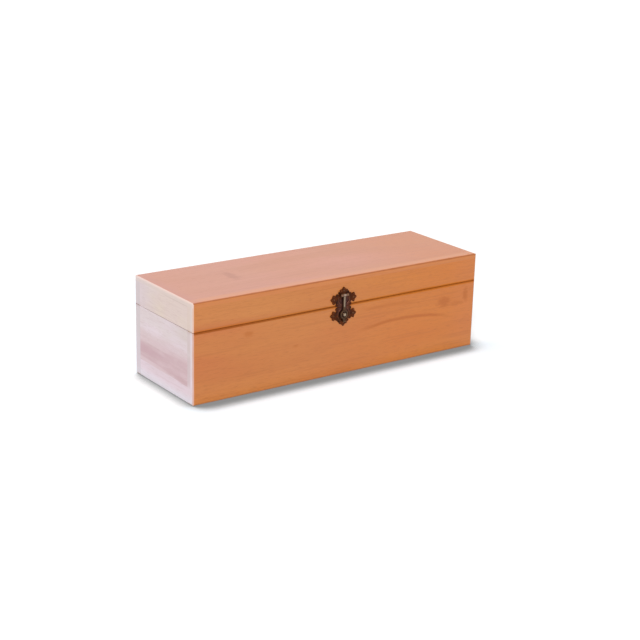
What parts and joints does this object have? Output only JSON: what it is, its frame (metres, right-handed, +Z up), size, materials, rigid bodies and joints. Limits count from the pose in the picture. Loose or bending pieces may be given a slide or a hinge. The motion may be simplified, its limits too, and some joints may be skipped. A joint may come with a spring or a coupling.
{
  "type": "wooden wine box",
  "caption": "Long wooden box for one wine bottle, with a hinged lid, notched cradles inside and a small bronze hasp clasp at the front.",
  "frame": {"origin": "on the table, under the middle of the box with its lid closed", "axes": "+X from the left end to the right end as seen from the front, +Y from the clasp to the hinges, +Z up"},
  "size_m": [0.35, 0.1202, 0.103],
  "materials": {
    "stained_board": "orange stained softwood under satin varnish",
    "end_board": "pale pinkish softwood under satin varnish",
    "lid_panel": "salmon stained softwood under satin varnish",
    "plain_wood": "bare planed softwood",
    "dark_bronze": "antiqued dark bronze plating",
    "rubbed_bronze": "antiqued bronze plating, rubbed brighter on what stands proud"
  },
  "bodies": {
    "base": {"front_board": "stained_board", "back_board": "stained_board", "left_end_board": "end_board", "right_end_board": "end_board", "bottom_panel": "plain_wood", "bottle_cradle": "plain_wood", "neck_cradle": "plain_wood", "catch_plate": "dark_bronze", "catch_knob": "rubbed_bronze", "catch_plate_nails": "rubbed_bronze", "left_hinge_base_leaf": "dark_bronze", "right_hinge_base_leaf": "dark_bronze", "left_hinge_pin": "rubbed_bronze", "right_hinge_pin": "rubbed_bronze", "hinge_base_screws": "rubbed_bronze"},
    "lid": {"lid_front_rail": "stained_board", "lid_back_rail": "stained_board", "lid_left_rail": "end_board", "lid_right_rail": "end_board", "top_panel": "lid_panel", "hasp_plate": "dark_bronze", "hasp_pin": "rubbed_bronze", "hasp_plate_nails": "rubbed_bronze", "left_hinge_lid_leaf": "dark_bronze", "right_hinge_lid_leaf": "dark_bronze", "hinge_lid_screws": "rubbed_bronze"},
    "hasp": {"hasp_arm": "rubbed_bronze"}
  },
  "joints": [
    {"name": "lid_hinge", "type": "hinge", "parent": "base", "child": "lid", "pos_m": [0, 0.0582, 0.07345], "axis": [-1, 0, 0], "range_deg": [0, 180]},
    {"name": "hasp_hinge", "type": "hinge", "parent": "lid", "child": "hasp", "pos_m": [0, -0.0578, 0.08445], "axis": [-1, 0, 0], "range_deg": [0, 155]}
  ]
}
